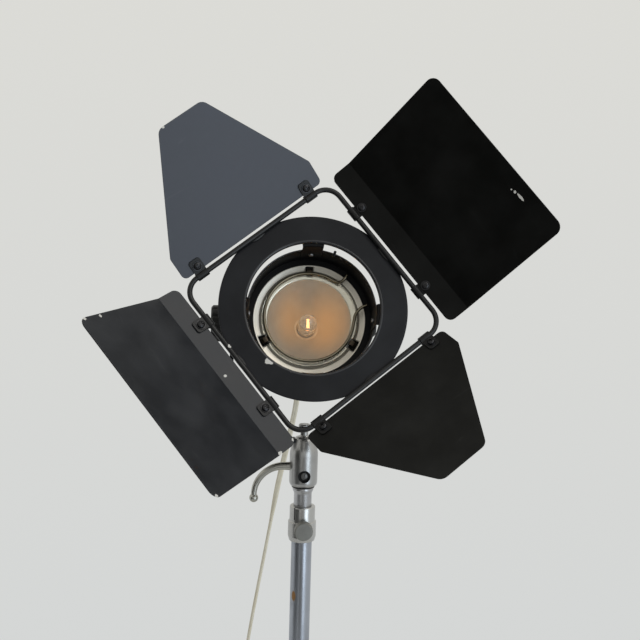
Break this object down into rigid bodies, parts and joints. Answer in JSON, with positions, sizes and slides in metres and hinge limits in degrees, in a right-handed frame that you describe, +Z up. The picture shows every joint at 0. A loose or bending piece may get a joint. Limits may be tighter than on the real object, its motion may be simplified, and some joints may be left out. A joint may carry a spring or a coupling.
{
  "type": "film spotlight",
  "caption": "Round black spotlight with a hinged barndoor on a rod frame, side arm, telescopic chrome stand, folding tripod and free cord.",
  "frame": {"origin": "on the floor at the centre of the overall footprint without the cord; the stand's axis stands 93.2 mm in front of it", "axes": "+Z up along the stand, the lamp faces -Y tilted 18.5 degrees up, +X to the right as seen from the front"},
  "size_m": [0.7506, 0.6773, 1.3431],
  "materials": {
    "black_paint": "satin black enamel, chipped at the edges",
    "leaf_paint": "satin black enamel on sheet steel, scuffed",
    "dark_steel": "darkened steel",
    "chrome": "polished chrome plate with rust spots",
    "grey_screw": "grey steel",
    "reflector_metal": "bright spun aluminium",
    "clear_glass": "clear heat-proof glass",
    "bulb_glass": "quartz glass, lit warm",
    "ceramic": "unglazed ceramic",
    "black_plastic": "matt black moulding",
    "rubber": "matt black rubber",
    "cream_cord": "cream flexible plastic"
  },
  "bodies": {
    "column": {"main_tube": "chrome", "clamp_collar": "chrome", "brace_hub": "black_plastic", "cord": "cream_cord", "cord_coil": "cream_cord", "plug": "cream_cord"},
    "collar_knob": {"clamp_knob": "chrome"},
    "leg_slide": {"leg_collar": "black_plastic"},
    "leg_lock": {"leg_knob": "black_plastic"},
    "riser": {"riser_tube": "chrome"},
    "pan_head": {"stand_head": "chrome", "recess_screw": "grey_screw", "side_arm": "black_paint"},
    "lever": {"lock_lever": "chrome"},
    "tilt_lock": {"tilt_knob": "black_plastic"},
    "lamp": {"housing_shell": "black_paint", "rear_cover": "black_paint", "cord_gland": "rubber", "reflector": "reflector_metal", "front_glass": "clear_glass", "glass_spring": "dark_steel", "ring_bracket_right": "black_paint", "ring_bracket_top": "black_paint", "ring_bracket_left": "black_paint", "ring_bracket_bottom": "black_paint"},
    "focus_carriage": {"bulb": "bulb_glass", "lamp_holder": "ceramic", "lamp_carriage": "dark_steel"},
    "focus_control": {"focus_knob": "black_plastic"},
    "barndoor": {"barndoor_ring": "black_paint", "rod_frame": "black_paint"},
    "rear_leg_body": {"rear_leg": "chrome", "rear_foot": "rubber"},
    "rear_brace_body": {"rear_brace": "chrome"},
    "left_leg_body": {"left_leg": "chrome", "left_foot": "rubber"},
    "left_brace_body": {"left_brace": "chrome"},
    "right_leg_body": {"right_leg": "chrome", "right_foot": "rubber"},
    "right_brace_body": {"right_brace": "chrome"},
    "large_leaf_a_body": {"large_leaf_a": "leaf_paint", "large_leaf_a_clip_1": "black_paint", "large_leaf_a_clip_2": "black_paint", "large_leaf_a_screw_1": "dark_steel", "large_leaf_a_screw_2": "dark_steel"},
    "small_leaf_a_body": {"small_leaf_a": "leaf_paint", "small_leaf_a_clip_1": "black_paint", "small_leaf_a_clip_2": "black_paint", "small_leaf_a_screw_1": "dark_steel", "small_leaf_a_screw_2": "dark_steel"},
    "large_leaf_b_body": {"large_leaf_b": "leaf_paint", "large_leaf_b_clip_1": "black_paint", "large_leaf_b_clip_2": "black_paint", "large_leaf_b_screw_1": "dark_steel", "large_leaf_b_screw_2": "dark_steel"},
    "small_leaf_b_body": {"small_leaf_b": "leaf_paint", "small_leaf_b_clip_1": "black_paint", "small_leaf_b_clip_2": "black_paint", "small_leaf_b_screw_1": "dark_steel", "small_leaf_b_screw_2": "dark_steel"}
  },
  "joints": [
    {"name": "leg_fold", "type": "slide", "parent": "column", "child": "leg_slide", "axis": [0, 0, 1], "range_m": [0, 0.12887]},
    {"name": "rear_leg_hinge", "type": "hinge", "parent": "leg_slide", "child": "rear_leg_body", "pos_m": [0, -0.0632, 0.40113], "axis": [-1, 0, 0], "range_deg": [0, 45.1]},
    {"name": "rear_brace_hinge", "type": "hinge", "parent": "column", "child": "rear_brace_body", "pos_m": [0, -0.0632, 0.09], "axis": [-1, 0, 0], "range_deg": [-45.1, 0]},
    {"name": "left_leg_hinge", "type": "hinge", "parent": "leg_slide", "child": "left_leg_body", "pos_m": [-0.02598, -0.1082, 0.40113], "axis": [0.5, -0.866, 0], "range_deg": [0, 45.1]},
    {"name": "left_brace_hinge", "type": "hinge", "parent": "column", "child": "left_brace_body", "pos_m": [-0.02598, -0.1082, 0.09], "axis": [0.5, -0.866, 0], "range_deg": [-45.1, 0]},
    {"name": "right_leg_hinge", "type": "hinge", "parent": "leg_slide", "child": "right_leg_body", "pos_m": [0.02598, -0.1082, 0.40113], "axis": [0.5, 0.866, 0], "range_deg": [0, 45.1]},
    {"name": "right_brace_hinge", "type": "hinge", "parent": "column", "child": "right_brace_body", "pos_m": [0.02598, -0.1082, 0.09], "axis": [0.5, 0.866, 0], "range_deg": [-45.1, 0]},
    {"name": "leg_lock_turn", "type": "hinge", "parent": "leg_slide", "child": "leg_lock", "pos_m": [0, -0.0932, 0.40113], "axis": [0, -1, 0], "continuous": true},
    {"name": "riser_slide", "type": "slide", "parent": "column", "child": "riser", "axis": [0, 0, 1], "range_m": [0, 0.45]},
    {"name": "collar_knob_turn", "type": "hinge", "parent": "column", "child": "collar_knob", "pos_m": [0, -0.0932, 0.885], "axis": [0, -1, 0], "continuous": true},
    {"name": "pan", "type": "hinge", "parent": "riser", "child": "pan_head", "pos_m": [0, -0.0932, 0.94], "axis": [0, 0, 1], "range_deg": [-90, 90]},
    {"name": "lever_turn", "type": "hinge", "parent": "pan_head", "child": "lever", "pos_m": [0, -0.0932, 0.9488], "axis": [-1, 0, 0], "range_deg": [-75, 75]},
    {"name": "tilt", "type": "hinge", "parent": "pan_head", "child": "lamp", "pos_m": [0, -0.0932, 1.1], "axis": [1, 0, 0], "range_deg": [-71.5, 45]},
    {"name": "tilt_lock_turn", "type": "hinge", "parent": "pan_head", "child": "tilt_lock", "pos_m": [0, -0.0932, 1.1], "axis": [-1, 0, 0], "continuous": true},
    {"name": "barndoor_turn", "type": "hinge", "parent": "lamp", "child": "barndoor", "pos_m": [0, -0.16907, 1.12538], "axis": [0, -0.9483, 0.3173], "continuous": true},
    {"name": "large_leaf_a_hinge", "type": "hinge", "parent": "barndoor", "child": "large_leaf_a_body", "pos_m": [0.07079, -0.15408, 1.17932], "axis": [0.6198, -0.249, -0.7442], "range_deg": [-15.6, 82.4]},
    {"name": "small_leaf_a_hinge", "type": "hinge", "parent": "barndoor", "child": "small_leaf_a_body", "pos_m": [-0.0559, -0.14935, 1.19343], "axis": [0.7848, 0.1967, 0.5878], "range_deg": [-27.5, 52.5]},
    {"name": "large_leaf_b_hinge", "type": "hinge", "parent": "barndoor", "child": "large_leaf_b_body", "pos_m": [-0.07079, -0.18956, 1.07329], "axis": [-0.6198, 0.249, 0.7442], "range_deg": [-24.7, 73.3]},
    {"name": "small_leaf_b_hinge", "type": "hinge", "parent": "barndoor", "child": "small_leaf_b_body", "pos_m": [0.0559, -0.19428, 1.05918], "axis": [-0.7848, -0.1967, -0.5878], "range_deg": [-37.6, 42.4]},
    {"name": "focus_slide", "type": "slide", "parent": "lamp", "child": "focus_carriage", "axis": [0, -0.9483, 0.3173], "range_m": [-0.012, 0.006]},
    {"name": "focus_turn", "type": "hinge", "parent": "lamp", "child": "focus_control", "pos_m": [0.065, -0.04027, 1.09494], "axis": [1, 0, 0], "range_deg": [-115, 57.6]}
  ],
  "couplings": [
    {"joint": "rear_leg_hinge", "follows": "leg_fold", "rad_per_m": 6.0944},
    {"joint": "rear_brace_hinge", "follows": "leg_fold", "rad_per_m": -6.0944},
    {"joint": "left_leg_hinge", "follows": "leg_fold", "rad_per_m": 6.0944},
    {"joint": "left_brace_hinge", "follows": "leg_fold", "rad_per_m": -6.0944},
    {"joint": "right_leg_hinge", "follows": "leg_fold", "rad_per_m": 6.0944},
    {"joint": "right_brace_hinge", "follows": "leg_fold", "rad_per_m": -6.0944},
    {"joint": "focus_turn", "follows": "focus_slide", "rad_per_m": 166.67}
  ]
}
